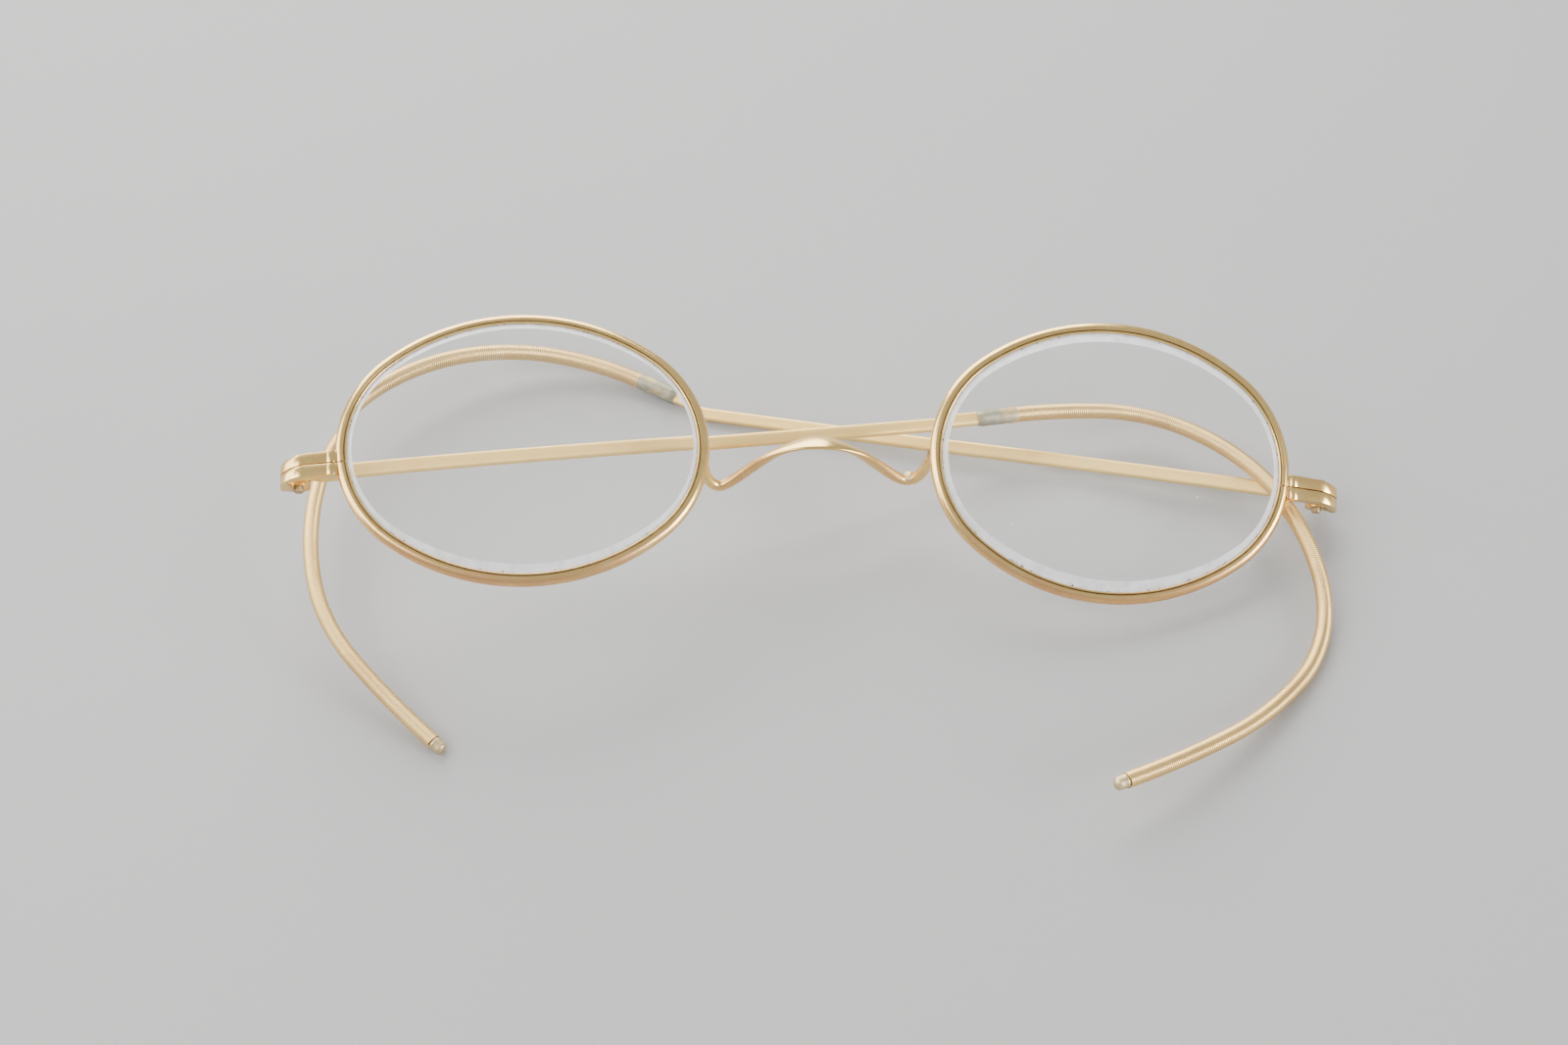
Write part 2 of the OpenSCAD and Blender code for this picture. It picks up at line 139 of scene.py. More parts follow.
class GLASSES_PG_rims(bpy.types.PropertyGroup):
    """Sizes of the two eye rims"""

    width: length("Width", "Width of a rim over its outside", 40)
    height: length("Height", "Height of a rim over its outside", 31.5)
    end_radius: length("End radius", "Outside radius of the oval's narrow ends", 13.5)
    wire_width: length("Wire width", "Width of the eye wire seen from the front", 1.25)
    wire_depth: length("Wire depth", "Depth of the eye wire, front to back", 1.5)
    line_in: length("Line", "Distance of the fine line inside the rim's outline", 0.98)
    line_half: length("Line width", "Half the width of the fine line, and its depth", 0.09)
    groove: length("Groove", "Depth of the lens groove", 0.55)
    saw_cut: length("Saw cut", "Gap where the rim's two ends meet", 0.12)
    seat_drop: length("Seat drop", "Distance of the end piece below the rim's middle", 1.35)


class GLASSES_PG_lenses(bpy.types.PropertyGroup):
    """Sizes of the two lenses"""

    gap: length("Gap", "Clearance between a lens edge and its groove", 0.08)
    edge: length("Edge", "Thickness of the lens where it leaves the groove", 1.0)
    front_radius: length("Front radius", "Radius of the front surface", 260)
    back_radius: length("Back radius", "Radius of the back surface", 500)
    bevel_width: length("Bevel width", "Width of the ground bevel at the narrow ends", 0.7)
    bevel_depth: length("Bevel depth", "Depth of the ground bevel at the rim", 0.3)
    land: length("Land", "Height of the plain wall behind the lens edge", 0.1)


class GLASSES_PG_bridge(bpy.types.PropertyGroup):
    """Sizes of the saddle bridge"""

    shank: length("Shank", "Diameter of the round shanks", 1.2)
    foot_span: length("Foot span", "Distance between the two feet", 20.6)
    foot_back: length("Foot back", "Distance of the feet behind the lenses", 7)
    foot_drop: length("Foot drop", "Distance of the feet below the lens centres", 1)
    crest_rise: length("Crest rise", "Height of the crest above the lens centres", 2)
    crest_back: length("Crest back", "Distance of the crest behind the lenses", 1.7)
    crest_width: length("Crest width", "Width of the flattened crest", 2.9)
    crest_thick: length("Crest thickness", "Thickness of the flattened crest", 0.8)
    crest_roll: angle("Crest roll", "Turn of the crest about the wire, to lie on the nose", 45)


class GLASSES_PG_temples(bpy.types.PropertyGroup):
    """Sizes of the shafts, solder joints, cables and caps"""

    hinge_out: length("Hinge out", "Distance of the hinge from the lens centre", 24.0645)
    hinge_back: length("Hinge back", "Distance of the hinge behind the lens", 3.1822)
    knuckle: length("Knuckle", "Radius of the hinge knuckle", 1.25)
    eye_thick: length("Eye thickness", "Thickness of the flat eye on the screw", 0.8)
    shaft_length: length("Shaft length", "Distance from the hinge to the shaft's bent end", 70)
    shaft_height: length("Shaft height", "Height of the shaft at the hinge", 1.6)
    shaft_height_end: length("Shaft end", "Height of the shaft at the solder joint", 1.5)
    shaft_thick: length("Shaft thickness", "Thickness of the shaft", 1)
    set_length: length("Set length", "Length of the bent end of the shaft", 6)
    joint_length: length("Joint length", "Length of the solder joint", 4.6)
    joint_width: length("Joint width", "Diameter of the solder joint at its fullest", 1.9)
    cable_length: length("Cable length", "Length of the wound cable over its curve", 80.5)
    cable_width: length("Cable width", "Diameter of the wound cable", 1.75)
    thread: length("Fine wire", "Diameter of the fine wire that is wound", 0.23)
    cap_length: length("Cap length", "Length of the cap at the cable's end", 3.5)
    cap_shown: length("Cap shown", "Length of the cap that shows beyond the winding", 1.5)
    cap_width: length("Cap width", "Diameter of the cap", 1.6)


class GLASSES_PG_finishes(bpy.types.PropertyGroup):
    """Colours of the metals, the glass and the floor"""

    gold: colour("Gold", "Polished gold-filled wire", (0.93, 0.62, 0.22))
    # Rose is also painted on the rims' bottoms as a reflection
    rose: colour("Rose", "Base metal that shows where the gold has worn", (0.72, 0.36, 0.17))
    dull: colour("Dull gold", "Gold-filled shaft, dulled by handling", (0.95, 0.61, 0.2))
    # Grime darkens dirt, stains and fine lines, and is also painted shade in the lens groove, between the
    # cable's turns and on the end pieces' lower parts
    grime: colour("Grime", "Dirt in lines and corners", (0.07, 0.05, 0.03))
    solder: colour("Solder", "Grey-green soft solder", (0.3, 0.28, 0.19))
    cap: colour("Cap", "Tarnished cap", (0.62, 0.48, 0.27))
    screw: colour("Screw", "Tarnished screw", (0.44, 0.33, 0.18))
    ground: colour("Ground glass", "Whitish ground bevel", (0.93, 0.95, 0.97))
    floor: colour("Floor", "Pale table", (0.36, 0.36, 0.36))


class GLASSES_PG_stage(bpy.types.PropertyGroup):
    """Camera and light"""

    camera_place: position("Camera place", "Where the camera stands", (-1.8292, -169.0252, 235.5125))
    camera_turn: bpy.props.FloatVectorProperty(
        name="Camera turn",
        description="How the camera is turned",
        default=[math.radians(a) for a in (36.8258, 3.7054, -4.2551)],
        subtype="EULER",
        precision=5,
    )
    focal: bpy.props.FloatProperty(
        name="Focal length", description="Focal length in millimetres on a 36 mm sensor", default=59.52
    )
    daylight: bpy.props.FloatProperty(
        name="Daylight", description="Strength of all the lamps", default=1.0, min=0
    )


def settings(group):
    return getattr(bpy.context.scene, "glasses_" + group)


def tint(name):
    return tuple(getattr(settings("finishes"), name))


def shaded(rgb, gain, lift=0.0):
    """A colour made lighter or darker"""
    return tuple(min(1, c * gain + lift) for c in rgb)


def held(number):
    """A number kept between 0 and 1"""
    return min(1, max(0, number))


def turned(axis, radians):
    return Matrix.Rotation(radians, 4, axis)


def moved(x=0.0, y=0.0, z=0.0):
    return Matrix.Translation((x, y, z))


def front_frame():
    """The worn front in the table's frame: X across the face, Y up, Z forwards"""
    lay = settings("lay")
    tilt = turned("Z", lay.turn) @ turned("Y", lay.lean) @ turned("X", lay.pitch)
    return Matrix.Translation(lay.place) @ tilt


def rim_frame(side):
    """Frame of one rim: origin at the lens centre, outer end towards -X"""
    lay = settings("lay")
    flip = Matrix.Scale(-1 if side == RIGHT else 1, 4, (1, 0, 0))
    bent_in = front_frame() @ turned("X", side * lay.twist / 2)
    return bent_in @ flip @ moved(-lay.lens_pitch / 2) @ turned("Z", lay.droop)


def hinge_frame(side):
    """Frame of a folded temple at its screw: Y is the hinge axis, X runs inwards along the shaft"""
    lay, rims, temples = settings("lay"), settings("rims"), settings("temples")
    fold = lay.left_fold if side == LEFT else lay.right_fold
    hinge = moved(-temples.hinge_out, -rims.seat_drop, -temples.hinge_back)
    return rim_frame(side) @ hinge @ turned("Y", fold)


def shaft_frame(side):
    return hinge_frame(side) @ turned("Z", SHAFT_RISE[side])


def set_frame(side, share):
    """Frame on the shaft's bent end, a share of the way along the bend"""
    temples = settings("temples")
    radius = temples.set_length / SHAFT_SET[side]
    a = SHAFT_SET[side] * share
    start = moved(temples.shaft_length + radius * math.sin(a), -radius * (1 - math.cos(a)))
    return start @ turned("Z", -a)


def joint_frame(side):
    return shaft_frame(side) @ set_frame(side, 1)


def cable_frame(side):
    return joint_frame(side) @ moved(settings("temples").joint_length)


class CableRoute:
    """The curve of one cable, with axes across it that are carried along without turning"""

    def __init__(self, side):
        self.bends = []
        self.total = settings("temples").cable_length
        place = (Vector((0, 0, 0)), Vector((1, 0, 0)), Vector((0, 1, 0)), Vector((0, 0, 1)))
        start = 0.0
        for share, (turn, direction) in zip(STRETCHES, BENDS[side]):
            reach = self.total * share / sum(STRETCHES)
            bend = (start, reach, math.radians(turn), math.radians(direction), place)
            self.bends.append(bend)
            place = self.bent(bend, reach)
            start += reach

    @staticmethod
    def bent(bend, along):
        """Point, way on and the two axes across, at a length along one bend"""
        _, reach, turn, direction, (point, way, u, w) = bend
        radius = reach / turn
        a = turn * along / reach
        inwards = math.cos(direction) * u + math.sin(direction) * w
        sideways = math.cos(direction) * w - math.sin(direction) * u
        turned_in = math.cos(a) * inwards + math.sin(a) * way
        return (
            point + radius * math.sin(a) * way - radius * (1 - math.cos(a)) * inwards,
            math.cos(a) * way - math.sin(a) * inwards,
            math.cos(direction) * turned_in - math.sin(direction) * sideways,
            math.sin(direction) * turned_in + math.cos(direction) * sideways,
        )

    def at(self, along):
        """The same at a length along the cable, which runs on straight past its ends"""
        inside = min(max(along, 0), self.total)
        bend = [b for b in self.bends if b[0] <= inside][-1]
        point, way, u, w = self.bent(bend, inside - bend[0])
        return point + (along - inside) * way, way, u, w


class Value:
    """A number in a material: Python's operators on it add Math nodes"""

    def __init__(self, finish, socket):
        self.finish = finish
        self.socket = socket

    def _math(self, operation, *values, clamp=False):
        choices = {"operation": operation, "use_clamp": clamp}
        return self.finish.node("ShaderNodeMath", choices, *values).value()

    def __add__(self, other):
        return self._math("ADD", self, other)

    def __sub__(self, other):
        return self._math("SUBTRACT", self, other)

    def __mul__(self, other):
        return self._math("MULTIPLY", self, other)

    def __rsub__(self, other):
        return self._math("SUBTRACT", other, self)

    __radd__ = __add__
    __rmul__ = __mul__

    def held(self):
        """The value kept between 0 and 1"""
        return self._math("ADD", self, 0.0, clamp=True)

    def between(self, low, high):
        """0 below low, 1 above high, and a straight line between them"""
        return ((self - low) * (1.0 / (high - low))).held()


class Step:
    """One node, with its outputs by name"""

    def __init__(self, finish, node):
        self.finish = finish
        self.node = node

    def out(self, name=0):
        return self.node.outputs[name]

    def value(self, name=0):
        return Value(self.finish, self.out(name))


class Finish:
    """A procedural material and its shader"""

    def __init__(self, name, look, metallic, roughness, **sockets):
        self.material = bpy.data.materials.new(name)
        self.material.use_nodes = True
        self.tree = self.material.node_tree
        self.tree.nodes.clear()
        self.shader = self.node("ShaderNodeBsdfPrincipled", {})
        self.output = self.node("ShaderNodeOutputMaterial", {}, Surface=self.shader.out())
        self.material.diffuse_color = (*look, 1)
        self.set("Base Color", (*look, 1))
        self.set("Metallic", metallic)
        self.set("Roughness", roughness)
        for socket, number in sockets.items():
            self.set(socket.replace("_", " "), number)
        self.place = self.node("ShaderNodeTexCoord", {}).out("Object")

    def node(self, kind, choices, *values, **named):
        """A new node: its choices first, then what its sockets get, by number and by name"""
        node = self.tree.nodes.new(kind)
        for choice, setting in choices.items():
            setattr(node, choice, setting)
        by_name = ((key.replace("_", " "), given) for key, given in named.items())
        for key, given in [*enumerate(values), *by_name]:
            self.feed(node.inputs[key], given)
        return Step(self, node)

    def feed(self, socket, given):
        if isinstance(given, Value):
            given = given.socket
        if isinstance(given, bpy.types.NodeSocket):
            self.tree.links.new(given, socket)
        else:
            socket.default_value = given

    def set(self, socket, given):
        self.feed(self.shader.node.inputs[socket], given)

    def laid(self, matrix, scale):
        """Object coordinates seen from a piece's own frame, then scaled"""
        place, turn, _ = matrix.decompose()
        own = self.node(
            "ShaderNodeMapping", {"vector_type": "TEXTURE"}, self.place, tuple(place), tuple(turn.to_euler())
        )
        return self.node("ShaderNodeMapping", {}, own.out(), Scale=scale).out()

    def clouds(self, size, detail=2.0, roughness=0.5, source=None, distortion=0.0):
        """Soft noise from 0 to 1 whose patches are about so many metres across"""
        return self.node(
            "ShaderNodeTexNoise",
            {},
            Vector=source or self.place,
            Scale=1.0 / size,
            Detail=detail,
            Roughness=roughness,
            Distortion=distortion,
        ).value()

    def specks(self, spacing, size):
        """1 inside small round specks, about a spacing apart and at most a size across"""
        cell = self.node("ShaderNodeTexVoronoi", {}, Vector=self.place, Scale=1.0 / spacing)
        reach = size / 2 / spacing
        chance = self.node("ShaderNodeSeparateColor", {}, cell.out("Color")).value("Red")
        return (1.0 - cell.value("Distance").between(0.6 * reach, reach)) * chance.between(0.55, 0.6)

    def mark(self, name):
        """A mark stored on the piece's own points"""
        return self.node("ShaderNodeAttribute", {"attribute_name": name}).value("Fac")

    def mixed(self, first, second, share):
        """A colour between two others, which are the sockets 6 and 7 of a Mix node"""
        mix = self.node("ShaderNodeMix", {"data_type": "RGBA"})
        for number, given in ((0, share), (6, first), (7, second)):
            self.feed(mix.node.inputs[number], (*given, 1) if isinstance(given, tuple) else given)
        return mix.out(2)

    def relief(self, height, depth, strength):
        bump = self.node("ShaderNodeBump", {}, Strength=strength, Distance=depth, Height=height)
        self.set("Normal", bump.out())

    def coated(self, base, dirt, roughness, height=None, depth=0.02 * MM, strength=0.5):
        """The material with a base colour under its dirt, which on some pieces is painted shade too, a
        roughness and a fine relief
        """
        self.set("Base Color", self.mixed(base, tint("grime"), dirt))
        self.set("Roughness", roughness.held())
        if height is not None:
            self.relief(height, depth, strength)
        return self.material


def polished_gold(name):
    """Gold-filled wire: bright, worn to rose in patches and rosier towards the rims' bottoms as a painted
    reflection; darkened in its fine lines, with painted shade in the lens groove and on the end pieces'
    lower parts, and a stain on the bridge
    """
    gold = Finish(name, tint("gold"), 1.0, 0.25)
    patches, fine = gold.clouds(5 * MM, 4, 0.6), gold.clouds(0.5 * MM, 3, 0.6)
    # Rose where the gold has worn, and towards the rims' bottoms a painted reflection
    worn = (gold.mark("worn") + (patches - 0.5) * 1.2 + (fine - 0.5) * 0.5).between(0.3, 0.95)
    pale = gold.clouds(2.2 * MM, 3, 0.6).between(0.45, 0.75)
    base = gold.mixed(tint("gold"), shaded(tint("gold"), 1.12, 0.04), pale)
    base = gold.mixed(base, tint("rose"), worn * 0.8)
    # Darkened where the points are marked: a stain, the fine lines, and painted shade in the lens groove and
    # on the end pieces' lower parts
    dirt = (gold.mark("grime") * 1.1 + (fine - 0.5) * 0.9 * gold.mark("grime")).held()
    roughness = 0.14 + 0.14 * patches + 0.12 * worn + 0.3 * dirt
    return gold.coated(base, dirt, roughness, fine + 0.6 * gold.clouds(0.12 * MM, 2), strength=0.35)


def brushed_gold(name, lie):
    """Dull flattened shaft: long draw marks, soft blotches from handling"""
    dull = Finish(name, tint("dull"), 0.92, 0.46)
    draw = dull.clouds(1 * MM, 4, 0.65, dull.laid(lie, (0.05, 9.0, 9.0)))
    blotch, fine = dull.clouds(4 * MM, 4, 0.6), dull.clouds(0.25 * MM, 2, 0.6)
    base = dull.mixed(tint("dull"), shaded(tint("dull"), 1.16, 0.05), draw)
    base = dull.mixed(base, tint("rose"), blotch.between(0.55, 0.85) * 0.28)
    dirt = fine.between(0.66, 0.8) * 0.25
    return dull.coated(base, dirt, 0.36 + 0.14 * draw + 0.14 * blotch, draw * 0.8 + fine * 0.4)


def wound_gold(name):
    """Fine wound wire: bright on the crests, and darker between the turns: painted shade, with dirt in
    patches
    """
    wire = Finish(name, tint("gold"), 1.0, 0.3)
    patches, fine = wire.clouds(6 * MM, 4, 0.6), wire.clouds(0.3 * MM, 2, 0.6)
    # Painted shade between the turns, deepened in patches by dirt
    valley_shade_and_dirt = (wire.mark("grime") * (0.55 + 0.9 * patches)).held()
    bright = shaded(tint("gold"), 1.05, 0.03)
    base = wire.mixed(bright, tint("rose"), patches.between(0.5, 0.85) * 0.5)
    return wire.coated(base, valley_shade_and_dirt * 0.8, 0.24 + 0.14 * fine + 0.3 * valley_shade_and_dirt)


def grey_solder(name):
    """Lumpy solder with a little gold in it"""
    lump = Finish(name, tint("solder"), 0.75, 0.5)
    patches = lump.clouds(0.9 * MM, 4, 0.65, distortion=0.6)
    fine = lump.clouds(0.18 * MM, 3, 0.6)
    base = lump.mixed(tint("solder"), PALE_SOLDER, patches.between(0.45, 0.7))
    base = lump.mixed(base, tint("dull"), lump.clouds(2.5 * MM, 3).between(0.55, 0.7) * 0.6)
    dirt = fine.between(0.6, 0.8) * 0.4
    return lump.coated(base, dirt, 0.38 + 0.3 * patches, patches + 0.5 * fine, 0.05 * MM, 0.6)


def tarnished(name, metal_colour, metallic=0.95):
    """Dull metal with pitted tarnish"""
    metal = Finish(name, metal_colour, metallic, 0.45)
    patches, pits = metal.clouds(0.8 * MM, 4, 0.65), metal.clouds(0.15 * MM, 3, 0.65)
    base = metal.mixed(metal_colour, shaded(metal_colour, 1.5), patches.between(0.5, 0.75))
    dirt = pits.between(0.58, 0.75) * 0.6
    return metal.coated(base, dirt, 0.3 + 0.35 * patches, pits + 0.5 * patches, 0.04 * MM, 0.6)


def clear_glass(name):
    """Lens glass with a few specks of dust. It lets lamps through, and light that is caught inside
    it and would turn the lens black at a low view"""
    glass = Finish(name, (1, 1, 1), 0.0, 0.0, Transmission_Weight=1.0, IOR=1.52)
    dust = (glass.specks(2.6 * MM, 0.22 * MM) + glass.specks(1.1 * MM, 0.09 * MM)).held()
    smear = glass.clouds(6 * MM, 4, 0.65, distortion=0.8).between(0.62, 0.8) * 0.05
    film = glass.node("ShaderNodeBsdfDiffuse", {}, Color=DUST)
    dirt = (dust * 0.7 + smear).held()
    dusty = glass.node("ShaderNodeMixShader", {}, dirt, glass.shader.out(), film.out())
    path = glass.node("ShaderNodeLightPath", {})
    caught = path.value("Glossy Depth").between(1, 2)
    passing = (path.value("Is Shadow Ray") + caught).held()
    open_way = glass.node("ShaderNodeBsdfTransparent", {}, Color=SHADE_OF_GLASS)
    seen = glass.node("ShaderNodeMixShader", {}, passing, dusty.out(), open_way.out())
    glass.feed(glass.output.node.inputs["Surface"], seen.out())
    return glass.material


def ground_glass(name):
    """Whitish ground bevel with tiny dark chips along the rim"""
    white = tint("ground")
    edge = Finish(name, white, 0.0, 0.55, Transmission_Weight=0.35, IOR=1.5)
    grain, streaks = edge.clouds(0.1 * MM, 3, 0.7), edge.clouds(1.4 * MM, 4, 0.6)
    broken = (edge.clouds(0.45 * MM, 3, 0.7) - 0.5) * 2.2
    chips = (edge.mark("chips") + broken).between(1.15, 1.25)
    base = edge.mixed(white, shaded(white, 0.72), streaks.between(0.4, 0.75))
    edge.set("Base Color", edge.mixed(base, CHIPPED, chips))
    edge.set("Roughness", (0.42 + 0.3 * grain).held())
    edge.relief(grain, 0.02 * MM, 0.5)
    return edge.material


def placed(name, data):
    """A new object in the scene"""
    thing = bpy.data.objects.new(name, data)
    bpy.context.scene.collection.objects.link(thing)
    return thing


def marks(bm, name):
    """Numbers on a piece's points that its finish reads"""
    return bm.verts.layers.float.new(name)


def finished_piece(bm, name, body, nodes, materials, matrix=None, sharp=32):
    """Turns a bmesh into a shaded piece that rides on its body and stands for its nodes"""
    if matrix is not None:
        bmesh.ops.transform(bm, matrix=matrix, verts=bm.verts)
    bmesh.ops.recalc_face_normals(bm, faces=bm.faces)
    mesh = bpy.data.meshes.new(name)
    bm.to_mesh(mesh)
    bm.free()
    mesh.polygons.foreach_set("use_smooth", [True] * len(mesh.polygons))
    mesh.set_sharp_from_angle(angle=math.radians(sharp))
    for material in materials:
        mesh.materials.append(material)
    piece = placed(name, mesh)
    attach(piece, body)
    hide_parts(*nodes)


def open_edges(geometry):
    return [e for e in geometry if isinstance(e, bmesh.types.BMEdge) and e.is_boundary]


def close_ends(bm):
    bmesh.ops.holes_fill(bm, edges=open_edges(bm.edges), sides=0)


def grown(bm, edges):
    """Extrudes edges and gives the open ones that this makes"""
    return open_edges(bmesh.ops.extrude_edge_only(bm, edges=edges)["geom"])


def points_of(edges):
    return {v for e in edges for v in e.verts}


def joined(verts, bm):
    """Points in a row and the edges between them"""
    return verts + [bm.edges.new(pair) for pair in zip(verts, verts[1:])]


def rounded(bm, edges, bevel):
    bmesh.ops.bevel(
        bm, geom=edges, offset=bevel, offset_type="OFFSET", affect="EDGES", segments=2, profile=0.5,
        material=-1, clamp_overlap=True,
    )


def softened_copy(node, bevel):
    """A merged copy of a CAD node's mesh with its sharp edges rounded"""
    bm = bmesh.new()
    bm.from_mesh(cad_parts[node].data)
    bmesh.ops.remove_doubles(bm, verts=bm.verts, dist=2 * WELD)
    bmesh.ops.dissolve_limit(bm, angle_limit=math.radians(0.5), verts=bm.verts, edges=bm.edges)
    crease = math.radians(25)
    rounded(bm, [e for e in bm.edges if len(e.link_faces) == 2 and e.calc_face_angle(0) > crease], bevel)
    return bm


def oval_arcs(rims):
    """The four arcs of a rim's outline: centre, radius, first angle, angle turned"""
    half_w, half_h, end_r = rims.width / 2, rims.height / 2, rims.end_radius
    end_x = half_w - end_r
    flank_r = (half_w**2 + half_h**2 - 2 * half_w * end_r) / (2 * (half_h - end_r))
    flank_y = flank_r - half_h
    turn = math.atan2(flank_y, end_x)
    return (
        (Vector((end_x, 0, 0)), end_r, -turn, 2 * turn),
        (Vector((0, -flank_y, 0)), flank_r, turn, math.pi - 2 * turn),
        (Vector((-end_x, 0, 0)), end_r, math.pi - turn, 2 * turn),
        (Vector((0, flank_y, 0)), flank_r, math.pi + turn, math.pi - 2 * turn),
    )


def swept_round_oval(bm, section, rims, steps, cut=None):
    """Spins a section of (inwards, height) points round the oval. Without a cut the section stays a
    line, and with one it is a ring and the oval is left open at its outer end"""
    arcs = list(oval_arcs(rims))
    if cut:
        centre, radius, first, turn = arcs[2]
        low, high = (math.pi - math.asin(h / radius) for h in cut)
        before_cut = (centre, radius, first, high - first)
        after_cut = (centre, radius, low, first + turn - low)
        arcs = [after_cut, arcs[3], *arcs[:2], before_cut]
    centre, radius, first, _ = arcs[0]
    way = Vector((math.cos(first), math.sin(first), 0))
    verts = [bm.verts.new(centre + (radius - p) * way + Vector((0, 0, h))) for p, h in section]
    geom = joined(verts, bm)
    if cut:
        geom.append(bm.edges.new((verts[-1], verts[0])))
    for centre, radius, first, turn in arcs:
        count = max(2, round(steps * abs(turn) / math.tau))
        for _ in range(count):
            geom = bmesh.ops.spin(
                bm, geom=geom, cent=centre, axis=(0, 0, 1), dvec=(0, 0, 0), angle=turn / count, steps=1,
                use_merge=False, use_duplicate=False,
            )["geom_last"]
    bmesh.ops.remove_doubles(bm, verts=bm.verts, dist=WELD)


def wire_section(rims):
    """Outline of the eye wire: a round bead, a fine line on each face, a V groove inside"""
    bead = rims.wire_depth / 2
    line, half, inner = rims.line_in, rims.line_half, rims.wire_width
    lip = 0.1 * MM
    angles = [math.radians(a) for a in range(90, -91, -10)]
    outside = [(bead - bead * math.cos(a), bead * math.sin(a)) for a in angles]
    face = [
        (line - half, 0), (line - 0.6 * half, 0.5 * half), (line, half), (line + 0.6 * half, 0.5 * half),
        (line + half, 0), (inner - lip, 0), (inner - 0.3 * lip, 0.3 * lip), (inner, lip),
        (inner, bead - rims.groove),
    ]
    back = [(p, h - bead) for p, h in face]
    front = [(p, bead - h) for p, h in reversed(face)]
    return outside + back + [(inner - rims.groove, 0)] + front


class GLASSES_OT_eye_rims(bpy.types.Operator):
    """Bend the eye wire into the two oval rims"""

    bl_idname = "glasses.eye_rims"
    bl_label = "Eye rims"

    def execute(self, context):
        rims = settings("rims")
        gold = polished_gold("rim_gold")
        bead, bare = rims.wire_depth / 2, 0.6 * MM
        cut = [-rims.seat_drop + half * rims.saw_cut for half in (-0.5, 0.5)]
        for side, name in SIDE_NAMES.items():
            bm = bmesh.new()
            grime, worn = marks(bm, "grime"), marks(bm, "worn")
            swept_round_oval(bm, wire_section(rims), rims, RIM_STEPS, cut)
            close_ends(bm)
            for v in bm.verts:
                depth = self.inside_outline(v.co, rims)
                in_line = max(0.0, 1 - abs(depth - rims.line_in) / (1.3 * rims.line_half))
                groove_shade = 0.5 if depth > rims.wire_width - 0.02 * MM else 0
                # The fine line on each face is darkened, and the lens groove gets painted shade
                v[grime] = in_line if abs(v.co.z) > 0.8 * bead else groove_shade
                # Rose a little all over where the gold has worn, and more towards the rim's bottom, most on
                # the outer bead: a painted reflection
                low = max(0.0, -v.co.y / rims.height * 2)
                v[worn] = 0.22 + 0.6 * low * (1 if depth < bare else 0.4)
            finished_piece(
                bm, "eye_rim_" + name, "front", ["rim_" + name], [gold],
                rim_frame(side), 50,
            )
        return {"FINISHED"}

    @staticmethod
    def inside_outline(point, rims):
        """How far a point lies inside the rim's outline"""
        depth = 0.0
        for centre, radius, first, turn in oval_arcs(rims):
            ray = point.xy - centre.xy
            a = (math.atan2(ray.y, ray.x) - first) % math.tau
            if a <= turn + 1e-4 or a >= math.tau - 1e-4:
                depth = radius - ray.length
        return depth


def sag(radius, x):
    return radius - math.sqrt(radius**2 - x**2)


def domed(bm, loop, height):
    """Closes a loop of edges with clear rings that shrink to a point and follow a height"""
    first = len(bm.faces)
    share = 1.0
    for smaller in (0.93, 0.8, 0.62, 0.42, 0.2):
        loop = grown(bm, loop)
        for v in points_of(loop):
            v.co.xy = v.co.xy * (smaller / share)
            v.co.z = height(v.co.xy.length)
        share = smaller
    middle = points_of(grown(bm, loop))
    bmesh.ops.pointmerge(bm, verts=list(middle), merge_co=(0, 0, height(0)))
    bm.faces.ensure_lookup_table()
    for face in bm.faces[first:]:
        face.material_index = CLEAR


